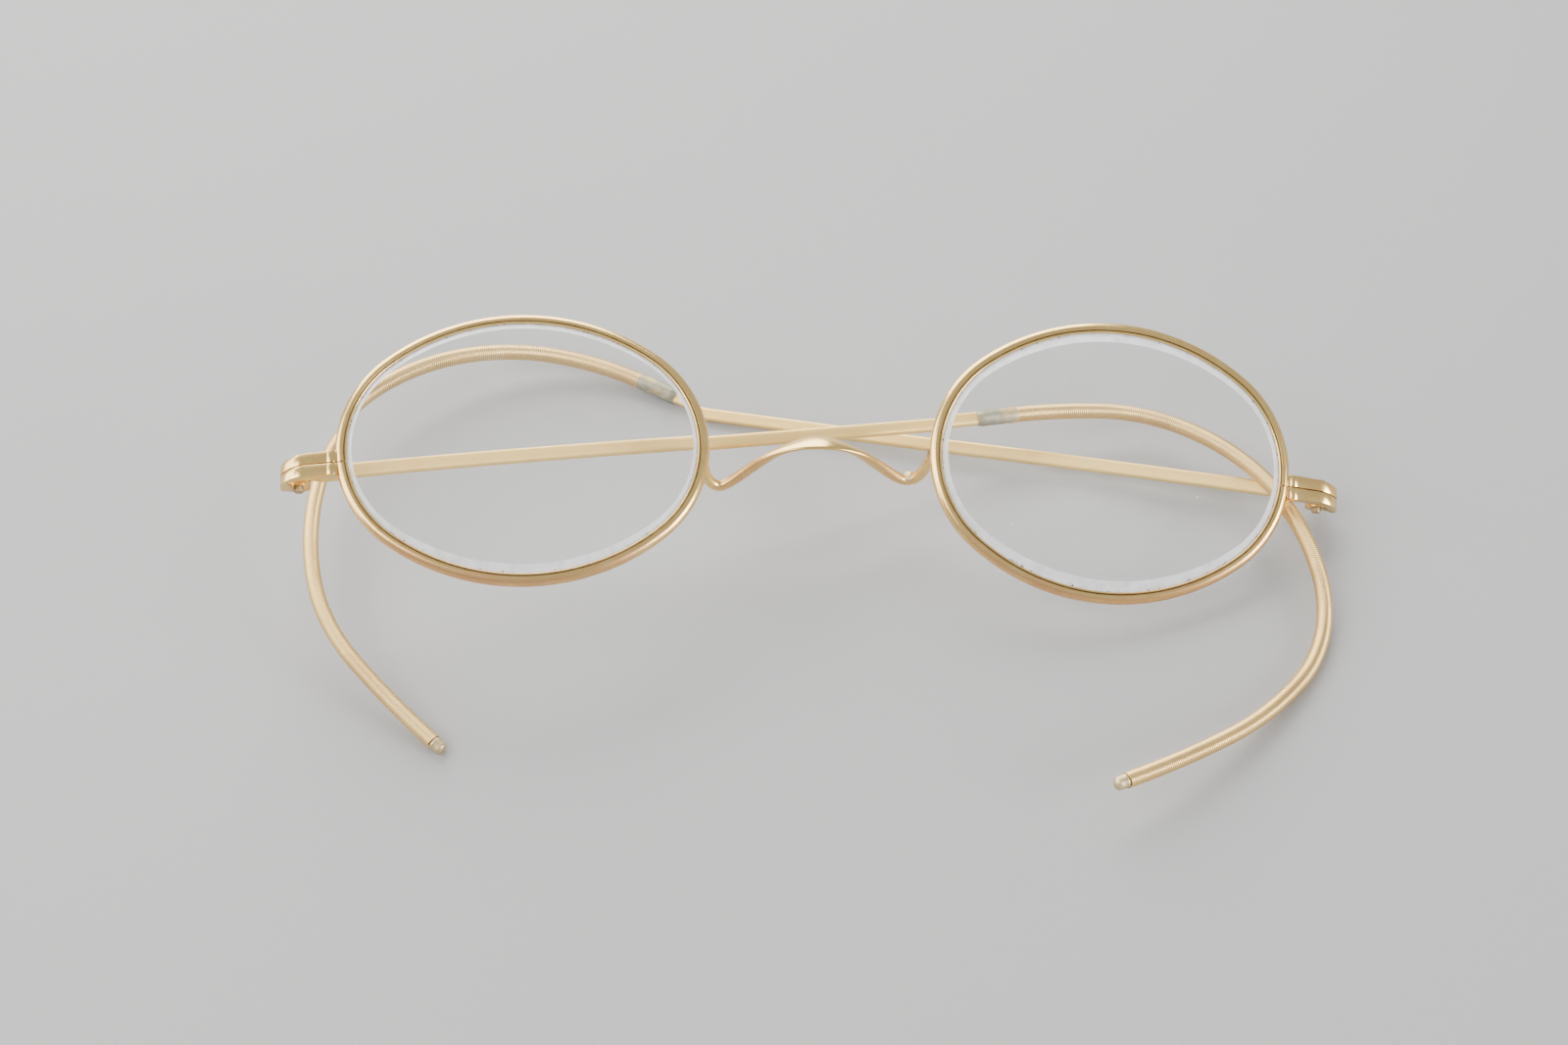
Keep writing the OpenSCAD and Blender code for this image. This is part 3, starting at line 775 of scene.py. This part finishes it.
class GLASSES_OT_lenses(bpy.types.Operator):
    """Grind the two lenses to their rims"""

    bl_idname = "glasses.lenses"
    bl_label = "Lenses"

    def execute(self, context):
        rims, lenses = settings("rims"), settings("lenses")
        finishes = [clear_glass("lens_clear"), ground_glass("lens_ground")]
        shoulder = rims.wire_width + lenses.gap
        apex = rims.wire_width - rims.groove + lenses.gap
        half, hair = lenses.edge / 2, 0.01 * MM
        reach = rims.width / 2 - shoulder
        rise = lenses.bevel_depth + reach * lenses.bevel_width / lenses.front_radius
        slope = rise / lenses.bevel_width
        front_crown = half + lenses.bevel_depth + sag(lenses.front_radius, reach)
        back_crown = half + lenses.land + sag(lenses.back_radius, reach)
        bevel_end = (shoulder + lenses.bevel_width, half + rise)
        profile = [(shoulder, -half), (apex, 0), (shoulder, half), bevel_end]

        def front(x):
            return front_crown - sag(lenses.front_radius, x)

        def back(x):
            return sag(lenses.back_radius, x) - back_crown

        for side, name in SIDE_NAMES.items():
            bm = bmesh.new()
            chips = marks(bm, "chips")
            swept_round_oval(bm, profile, rims, LENS_STEPS)
            for v in bm.verts:
                v[chips] = 1.0 if abs(v.co.z - half) < hair else 0.0
            for v in [v for v in bm.verts if v.co.z > half + hair]:
                others = (e.other_vert(v).co for e in v.link_edges)
                rim_point = next(co.xy for co in others if co.z < v.co.z - hair)
                inwards = (v.co.xy - rim_point).normalized()
                width = lenses.bevel_width
                for _ in range(5):
                    width = (front((rim_point + inwards * width).length) - half) / slope
                v.co.xy = rim_point + inwards * width * BEVEL_SHARE[side]
                v.co.z = front(v.co.xy.length)
            for face in bm.faces:
                face.material_index = GROUND
            loops = open_edges(bm.edges)
            bevel_loop = [e for e in loops if e.verts[0].co.z > 0]
            back_loop = grown(bm, [e for e in loops if e.verts[0].co.z < 0])
            for v in points_of(back_loop):
                v.co.z = back(v.co.xy.length)
            domed(bm, bevel_loop, front)
            domed(bm, back_loop, back)
            finished_piece(
                bm, "lens_glass_" + name, "front", ["lens_" + name], finishes,
                rim_frame(side), 12,
            )
        return {"FINISHED"}


def bezier(points, t):
    a, b, c, d = (Vector(p) for p in points)
    return (1 - t) ** 3 * a + 3 * (1 - t) ** 2 * t * b + 3 * (1 - t) * t * t * c + t**3 * d


def drawn_along(bm, stations, sides, outline=None):
    """Extrudes a closed outline from station to station. A station is centre, two axes, width and
    thickness"""
    ring = bmesh.ops.create_circle(bm, segments=sides, radius=1, cap_ends=False)["verts"]
    unit = [v.co.copy() for v in ring]
    loop = list({e for v in ring for e in v.link_edges})
    for number, (centre, u, w, width, thick) in enumerate(stations):
        if number:
            loop = grown(bm, loop)
            newer = points_of(loop)
            ring = [next(e.other_vert(v) for e in v.link_edges if e.other_vert(v) in newer) for v in ring]
        for v, at in zip(ring, unit):
            x, y = outline(at.x, at.y, width, thick) if outline else (at.x * width / 2, at.y * thick / 2)
            v.co = centre + x * u + y * w
        if number in (0, len(stations) - 1):
            bmesh.ops.contextual_create(bm, geom=loop)


def saddle_route():
    """The bridge wire's middle line in the worn front from left seat to right seat, and its foot"""
    rims, bridge, lay = settings("rims"), settings("bridge"), settings("lay")
    foot = Vector((bridge.foot_span / 2, -bridge.foot_drop, -bridge.foot_back))
    crest = Vector((0, bridge.crest_rise, -bridge.crest_back))
    seat = rims.width / 2 - rims.wire_width / 2
    seat_x = lay.lens_pitch / 2 - seat * math.cos(lay.droop)
    start = Vector((seat_x, seat * math.sin(lay.droop), -0.3 * rims.wire_depth))
    lead = start - Vector((0, 0, 0.4 * MM))
    run_back = lead - Vector((0, 0, 0.37 * bridge.foot_back))
    into_foot = foot + foot.x * Vector((0.2, -0.02, 0.0097))
    out_of_foot = foot + foot.x * Vector((-0.2, 0.02, 0.0583))
    onto_crest = crest + Vector((0.466 * foot.x, 0, 0))
    down, over = (lead, run_back, into_foot, foot), (foot, out_of_foot, onto_crest, crest)
    half = [start] + [bezier(down, i / 20) for i in range(20)] + [bezier(over, i / 32) for i in range(32)]

    def twisted(p, side):
        share = min(1, abs(p.x) / foot.x)
        return turned("X", side * lay.twist / 2 * share) @ Vector((side * p.x, p.y, p.z))

    left, right = ([twisted(p, side) for p in half] for side in SIDE_NAMES)
    return left + [crest] + right[::-1], foot


class GLASSES_OT_bridge(bpy.types.Operator):
    """Bend the saddle bridge, flatten its crest and put a lump of solder on its right foot"""

    bl_idname = "glasses.bridge"
    bl_label = "Bridge"

    def execute(self, context):
        bridge = settings("bridge")
        route, foot = saddle_route()
        bm = bmesh.new()
        grime, worn = marks(bm, "grime"), marks(bm, "worn")
        stations = []
        for i, p in enumerate(route):
            way = (route[min(i + 1, len(route) - 1)] - route[max(i - 1, 0)]).normalized()
            t = max(0, 1 - abs(p.x) / foot.x)
            flat = t * t * (3 - 2 * t)
            level = Vector((0, 1, 0)).cross(way).normalized()
            wide = Matrix.Rotation(bridge.crest_roll * flat, 3, way) @ level
            width = bridge.shank + (bridge.crest_width - bridge.shank) * flat
            thick = bridge.shank + (bridge.crest_thick - bridge.shank) * flat
            stations.append((p, wide, way.cross(wide), width, thick))
        drawn_along(bm, stations, BRIDGE_SIDES)
        rubbed, rubbed_half = 0.75 * foot.x, 4 * MM
        stain, stain_reach = Vector((12.3 * MM, 1.0 * MM, -0.8 * MM)), 1.5 * MM
        for v in bm.verts:
            v[worn] = 0.2 + 0.6 * max(0.0, 1 - (abs(v.co.x) - rubbed) ** 2 / rubbed_half**2)
            either_side = Vector((abs(v.co.x), v.co.y, v.co.z))
            v[grime] = max(0.0, 1 - (either_side - stain).length / stain_reach)
        gold = polished_gold("bridge_gold")
        finished_piece(
            bm, "saddle_bridge", "front", ["bridge"], [gold], front_frame(), 60
        )
        self.solder_lump(foot)
        return {"FINISHED"}

    @staticmethod
    def solder_lump(foot):
        """An old repair on the right foot: a small lump of solder"""
        bm = bmesh.new()
        radius, flatness = 0.72 * MM, 0.9
        coarse, fine = 1400, 4200
        bmesh.ops.create_icosphere(bm, subdivisions=4, radius=radius)
        for v in bm.verts:
            lumps = noise.noise(v.co * coarse) + 0.5 * noise.noise(v.co * fine)
            v.co = v.co * (1 + 0.2 * lumps)
            v.co.z *= flatness
        at = turned("X", settings("lay").twist / 2) @ (foot + Vector((0.45 * MM, 0.2 * MM, 0.25 * MM)))
        gilt = tarnished("bridge_solder", GILT_SOLDER)
        matrix = front_frame() @ Matrix.Translation(at)
        finished_piece(bm, "bridge_solder", "front", [], [gilt], matrix, 60)


class GLASSES_OT_end_pieces(bpy.types.Operator):
    """Round the edges of the four halves of the end pieces and sweep their curls down"""

    bl_idname = "glasses.end_pieces"
    bl_label = "End pieces"

    def execute(self, context):
        gold = polished_gold("end_piece_gold")
        for side, name in SIDE_NAMES.items():
            for half in ("upper", "lower"):
                node = f"end_piece_{half}_{name}"
                bm = softened_copy(node, 0.1 * MM)
                self.sweep_down(bm, side)
                worn, grime = marks(bm, "worn"), marks(bm, "grime")
                low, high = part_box(node)
                for v in bm.verts:
                    v[worn] = 0.25
                    # Painted shade: each half darkens towards its lower part
                    v[grime] = 0.35 * max(0.0, 1 - (v.co.z - low.z) / (0.45 * (high.z - low.z)))
                finished_piece(bm, f"end_half_{half}_{name}", "front", [node], [gold])
        return {"FINISHED"}

    @staticmethod
    def sweep_down(bm, side):
        """The curl's front sweeps down towards its outer end, more so along its upper edge"""
        rims, temples = settings("rims"), settings("temples")
        rim = rim_frame(side)
        bmesh.ops.transform(bm, matrix=rim.inverted(), verts=bm.verts)
        near, far = rims.width / 2 + 0.6 * MM, temples.hinge_out + temples.knuckle + 0.7 * MM
        curl_back = temples.knuckle - temples.hinge_back - 0.2 * MM
        eye_end = temples.hinge_out + 0.9 * temples.knuckle
        for v in bm.verts:
            out = held((-v.co.x - near) / (far - near))
            front = held((v.co.z - curl_back) / (1.4 * MM))
            past_eye = held((-v.co.x - eye_end) / (0.6 * MM))
            up = (v.co.y + rims.seat_drop) / (1.45 * MM)
            v.co.y -= (0.75 + 0.25 * up) * out**2 * max(front, past_eye) * MM
        bmesh.ops.transform(bm, matrix=rim, verts=bm.verts)


class GLASSES_OT_hinge_screws(bpy.types.Operator):
    """Round the hinge screws and tarnish them"""

    bl_idname = "glasses.hinge_screws"
    bl_label = "Hinge screws"

    def execute(self, context):
        metal = tarnished("screw_metal", tint("screw"))
        for name in SIDE_NAMES.values():
            node = "hinge_screw_" + name
            bm = softened_copy(node, 0.05 * MM)
            finished_piece(bm, "slotted_screw_" + name, "front", [node], [metal])
        return {"FINISHED"}


def flattened(x, y, width, thick):
    """A point of a flat bar's rounded outline for a point of the unit circle"""
    corner = 0.38 * min(width, thick)
    a = math.atan2(abs(y), abs(x))
    bend = math.atan2(math.sin(a) ** 1.6, math.cos(a) ** 1.6) if 0 < a < math.pi / 2 else a
    out_x = (width / 2 - corner) * min(1, 1.9 * math.cos(a)) + corner * math.cos(bend)
    out_y = (thick / 2 - corner) * min(1, 1.9 * math.sin(a)) + corner * math.sin(bend)
    sign_x, sign_y = (math.copysign(1, c) if abs(c) > 1e-6 else 0 for c in (x, y))
    return sign_x * out_x, sign_y * out_y


class GLASSES_OT_temple_shafts(bpy.types.Operator):
    """Forge the two flattened shafts with the eyes that turn on the screws"""

    bl_idname = "glasses.temple_shafts"
    bl_label = "Temple shafts"

    def execute(self, context):
        temples = settings("temples")
        shoulder, rounded_off = temples.knuckle + 0.65 * MM, 0.012
        full, slim, thick = temples.shaft_height, temples.shaft_height_end, temples.shaft_thick
        up, out = Vector((0, 1, 0)), Vector((0, 0, 1))
        for side, name in SIDE_NAMES.items():
            stations = []
            for share in (0, 0.002, 0.006, rounded_off, 0.1, 0.25, 0.5, 0.75, 1):
                middle = Vector((shoulder + (temples.shaft_length - shoulder) * share, 0, 0))
                slimmer = 1 - 0.14 * max(0, 1 - share / rounded_off) ** 2
                stations.append((middle, up, out, (full + (slim - full) * share) * slimmer, thick * slimmer))
            for i in range(1, 9):
                place = set_frame(side, i / 8)
                stations.append((place.translation, place.to_3x3() @ up, out, slim, thick))
            bm = bmesh.new()
            drawn_along(bm, stations, SHAFT_SIDES, flattened)
            bmesh.ops.transform(bm, matrix=turned("Z", SHAFT_RISE[side]), verts=bm.verts)
            self.eye(bm, temples, shoulder)
            gold = brushed_gold("shaft_gold_" + name, shaft_frame(side))
            finished_piece(
                bm, "flat_shaft_" + name, name + "_temple", ["temple_shaft_" + name],
                [gold], hinge_frame(side), 40,
            )
        return {"FINISHED"}

    @staticmethod
    def eye(bm, temples, shoulder):
        """The flat round eye on the screw and the tongue that carries it"""
        outer = temples.knuckle - 0.05 * MM
        disc = bmesh.ops.create_cone(
            bm, cap_ends=True, segments=SHAFT_SIDES, radius1=outer, radius2=outer, depth=temples.eye_thick,
            matrix=turned("X", math.pi / 2),
        )["verts"]
        reach = shoulder + temples.shaft_thick / 2
        size = Matrix.Diagonal((reach, temples.eye_thick, temples.shaft_thick - 0.1 * MM, 1))
        tongue = bmesh.ops.create_cube(bm, size=1, matrix=moved(reach / 2) @ size)["verts"]
        around = {e for v in disc + tongue for e in v.link_edges}
        rounded(bm, [e for e in around if e.calc_face_angle(0) > 0.8], 0.06 * MM)


def lathed(bm, profile):
    """Spins a profile of (along, radius) points about X into a closed solid"""
    chain = joined([bm.verts.new((x, r, 0)) for x, r in profile], bm)
    bmesh.ops.spin(
        bm, geom=chain, cent=(0, 0, 0), axis=(1, 0, 0), dvec=(0, 0, 0), angle=math.tau, steps=TURNED_STEPS,
        use_merge=True, use_duplicate=False,
    )
    bmesh.ops.remove_doubles(bm, verts=bm.verts, dist=WELD)


class GLASSES_OT_cable_joints(bpy.types.Operator):
    """Solder each cable to its shaft by hand, a little unevenly"""

    bl_idname = "glasses.cable_joints"
    bl_label = "Solder joints"

    def execute(self, context):
        temples = settings("temples")
        solder = grey_solder("joint_solder")
        full, whole = temples.joint_width / 2, temples.joint_length
        start, end = temples.shaft_height_end / 2, temples.cable_width / 2
        lap, taper, dent = 0.02 * MM, 0.7 * MM, 0.055
        profile = [(-lap, 0), (-lap, start)]
        for i in range(25):
            t = i / 24
            swell = min(1, t * whole / taper, (1 - t) * whole / taper)
            edge = start + (end - start) * t
            profile.append((t * whole, edge + (full - lap - edge) * math.sin(swell * math.pi / 2)))
        profile += [(whole + lap, end), (whole + lap, 0)]
        for side, name in SIDE_NAMES.items():
            bm = bmesh.new()
            lathed(bm, profile)
            for v in bm.verts:
                spot = Vector((v.co.x * 900, v.co.y * 1300 + side * 7, v.co.z * 1300))
                v.co.yz *= 1 - dent * (0.5 + 0.5 * noise.noise(spot))
            finished_piece(
                bm, "solder_joint_" + name, name + "_temple", ["cable_joint_" + name], [solder],
                joint_frame(side), 60,
            )
        return {"FINISHED"}


class GLASSES_OT_cable_windings(bpy.types.Operator):
    """Wind the fine wire round each cable and bend the cables as they lie"""

    bl_idname = "glasses.cable_windings"
    bl_label = "Cable windings"

    def execute(self, context):
        gold = wound_gold("cable_gold")
        for side, name in SIDE_NAMES.items():
            route = CableRoute(side)
            bm = self.coil(settings("temples"))
            for v in bm.verts:
                point, _, u, w = route.at(v.co.x)
                v.co = point + v.co.y * u + v.co.z * w
            finished_piece(
                bm, "wound_cable_" + name, name + "_temple", ["cable_winding_" + name],
                [gold], cable_frame(side), 180,
            )
        return {"FINISHED"}

    @staticmethod
    def coil(temples):
        """A straight close coil along X, wound in batches of turns. Each turn shows the outer side
        of its wire"""
        bm = bmesh.new()
        grime = marks(bm, "grime")
        batch, bulge = 14, 0.55
        wound = temples.cable_length + temples.cap_length - temples.cap_shown
        batches = round(wound / temples.thread / batch)
        pitch = wound / (batch * batches)
        crest, wire = temples.cable_width / 2, pitch / 2
        verts = []
        for i in range(5):
            a = math.pi * i / 4
            v = bm.verts.new((-wire * math.cos(a), crest - bulge * wire * (1 - math.sin(a)), 0))
            # Painted shade: the mark rises towards the valley between turns
            v[grime] = (1 - math.sin(a)) ** 1.5
            verts.append(v)
        bmesh.ops.spin(
            bm, geom=joined(verts, bm), cent=(0, 0, 0), axis=(1, 0, 0), dvec=(pitch / COIL_SIDES, 0, 0),
            angle=math.tau * batch, steps=COIL_SIDES * batch, use_merge=False, use_duplicate=False,
        )
        first = bm.verts[:] + bm.edges[:] + bm.faces[:]
        for number in range(1, batches):
            copied = bmesh.ops.duplicate(bm, geom=first)["geom"]
            turns = [v for v in copied if isinstance(v, bmesh.types.BMVert)]
            bmesh.ops.translate(bm, verts=turns, vec=(number * batch * pitch, 0, 0))
        bmesh.ops.remove_doubles(bm, verts=bm.verts, dist=2 * WELD)
        close_ends(bm)
        return bm


class GLASSES_OT_cable_caps(bpy.types.Operator):
    """Turn the caps that close the cables' ends"""

    bl_idname = "glasses.cable_caps"
    bl_label = "Cable caps"

    def execute(self, context):
        temples = settings("temples")
        metal = tarnished("cap_metal", tint("cap"))
        r, whole = temples.cap_width / 2, temples.cap_length
        lip, dome = whole - temples.cap_shown, whole - 0.7 * r
        profile = [(0.02 * MM, 0), (0.02 * MM, 0.8 * r), (lip - 0.1 * MM, 0.8 * r), (lip, 0.93 * r)]
        profile += [(lip + 0.08 * MM, r), (lip + 0.3 * MM, r), (lip + 0.38 * MM, 0.94 * r), (dome, 0.96 * r)]
        angles = [math.radians(a) for a in range(15, 90, 15)]
        profile += [(dome + 0.62 * r * math.sin(a), 0.96 * r * math.cos(a) ** 0.6) for a in angles]
        profile.append((whole - 0.08 * r, 0))
        for side, name in SIDE_NAMES.items():
            bm = bmesh.new()
            lathed(bm, profile)
            for v in bm.verts:
                v.co.yz *= 1 - 0.03 * (0.5 + 0.5 * noise.noise(v.co * 1500 + Vector((side * 5, 0, 0))))
            point, way, u, w = CableRoute(side).at(temples.cable_length)
            seat = Matrix((way, u, w)).transposed().to_4x4()
            seat.translation = point
            finished_piece(
                bm, "round_cap_" + name, name + "_temple", ["cable_tip_" + name], [metal],
                cable_frame(side) @ seat, 40,
            )
        return {"FINISHED"}


class GLASSES_OT_cable_cores(bpy.types.Operator):
    """Give the hidden core wires the look of plain spring wire"""

    bl_idname = "glasses.cable_cores"
    bl_label = "Cable cores"

    def execute(self, context):
        metal = tarnished("core_wire", SPRING_WIRE, 1.0)
        for name in SIDE_NAMES.values():
            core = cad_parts["cable_core_" + name]
            core.data.materials.clear()
            core.data.materials.append(metal)
        return {"FINISHED"}


class GLASSES_OT_stage(bpy.types.Operator):
    """Lay the pale floor and set up the light and the camera"""

    bl_idname = "glasses.stage"
    bl_label = "Floor, light and camera"

    def execute(self, context):
        self.floor()
        self.light(context)
        stage = settings("stage")
        lens = bpy.data.cameras.new("camera")
        lens.lens, lens.sensor_width = stage.focal, 36
        lens.clip_start, lens.clip_end = 0.01, 20
        camera = placed("camera", lens)
        camera.location = stage.camera_place
        camera.rotation_euler = stage.camera_turn
        context.scene.camera = camera
        return {"FINISHED"}

    @staticmethod
    def floor():
        pale = tint("floor")
        table = Finish("table_top", pale, 0.0, 0.5)
        table.set("Base Color", table.mixed(pale, shaded(pale, 0.97), table.clouds(60 * MM, 3)))
        bm = bmesh.new()
        bmesh.ops.create_grid(bm, x_segments=1, y_segments=1, size=3)
        mesh = bpy.data.meshes.new("floor")
        bm.to_mesh(mesh)
        bm.free()
        mesh.materials.append(table.material)
        placed("floor", mesh)

    @staticmethod
    def light(context):
        world = bpy.data.worlds.new("studio")
        world.use_nodes = True
        sky = world.node_tree.nodes["Background"]
        sky.inputs["Color"].default_value = SKY
        sky.inputs["Strength"].default_value = SKY_STRENGTH
        context.scene.world = world
        for name, place, size, watts, tone in LAMPS:
            lamp = bpy.data.lights.new(name, "AREA")
            lamp.size, lamp.energy, lamp.color = size, watts * settings("stage").daylight, tone
            thing = placed(name, lamp)
            thing.location = place
            thing.visible_camera = False
            thing.rotation_euler = (-Vector(place)).to_track_quat("-Z", "Y").to_euler()


PIECES = (
    GLASSES_OT_stage,
    GLASSES_OT_eye_rims,
    GLASSES_OT_lenses,
    GLASSES_OT_bridge,
    GLASSES_OT_end_pieces,
    GLASSES_OT_hinge_screws,
    GLASSES_OT_temple_shafts,
    GLASSES_OT_cable_joints,
    GLASSES_OT_cable_windings,
    GLASSES_OT_cable_caps,
    GLASSES_OT_cable_cores,
)
GROUPS = {
    "lay": GLASSES_PG_lay,
    "rims": GLASSES_PG_rims,
    "lenses": GLASSES_PG_lenses,
    "bridge": GLASSES_PG_bridge,
    "temples": GLASSES_PG_temples,
    "finishes": GLASSES_PG_finishes,
    "stage": GLASSES_PG_stage,
}


class GLASSES_PT_workbench(bpy.types.Panel):
    """Lists the pieces of the glasses and their settings"""

    bl_idname = "GLASSES_PT_workbench"
    bl_label = "Reading glasses"
    bl_space_type = "VIEW_3D"
    bl_region_type = "UI"
    bl_category = "Glasses"

    def draw(self, context):
        for piece in PIECES:
            self.layout.operator(piece.bl_idname)
        for name, group in GROUPS.items():
            box = self.layout.box()
            box.label(text=name.capitalize())
            for setting in group.__annotations__:
                box.prop(settings(name), setting)


def register():
    for group in GROUPS.values():
        bpy.utils.register_class(group)
    for piece in PIECES:
        bpy.utils.register_class(piece)
    bpy.utils.register_class(GLASSES_PT_workbench)
    for name, group in GROUPS.items():
        setattr(bpy.types.Scene, "glasses_" + name, bpy.props.PointerProperty(type=group))


def unregister():
    for name in GROUPS:
        delattr(bpy.types.Scene, "glasses_" + name)
    bpy.utils.unregister_class(GLASSES_PT_workbench)
    for piece in reversed(PIECES):
        bpy.utils.unregister_class(piece)
    for group in reversed(GROUPS.values()):
        bpy.utils.unregister_class(group)


def main():
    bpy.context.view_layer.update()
    register()
    bpy.ops.glasses.stage()
    bpy.ops.glasses.eye_rims()
    bpy.ops.glasses.lenses()
    bpy.ops.glasses.bridge()
    bpy.ops.glasses.end_pieces()
    bpy.ops.glasses.hinge_screws()
    bpy.ops.glasses.temple_shafts()
    bpy.ops.glasses.cable_joints()
    bpy.ops.glasses.cable_windings()
    bpy.ops.glasses.cable_caps()
    bpy.ops.glasses.cable_cores()


if __name__ == "__main__":
    main()
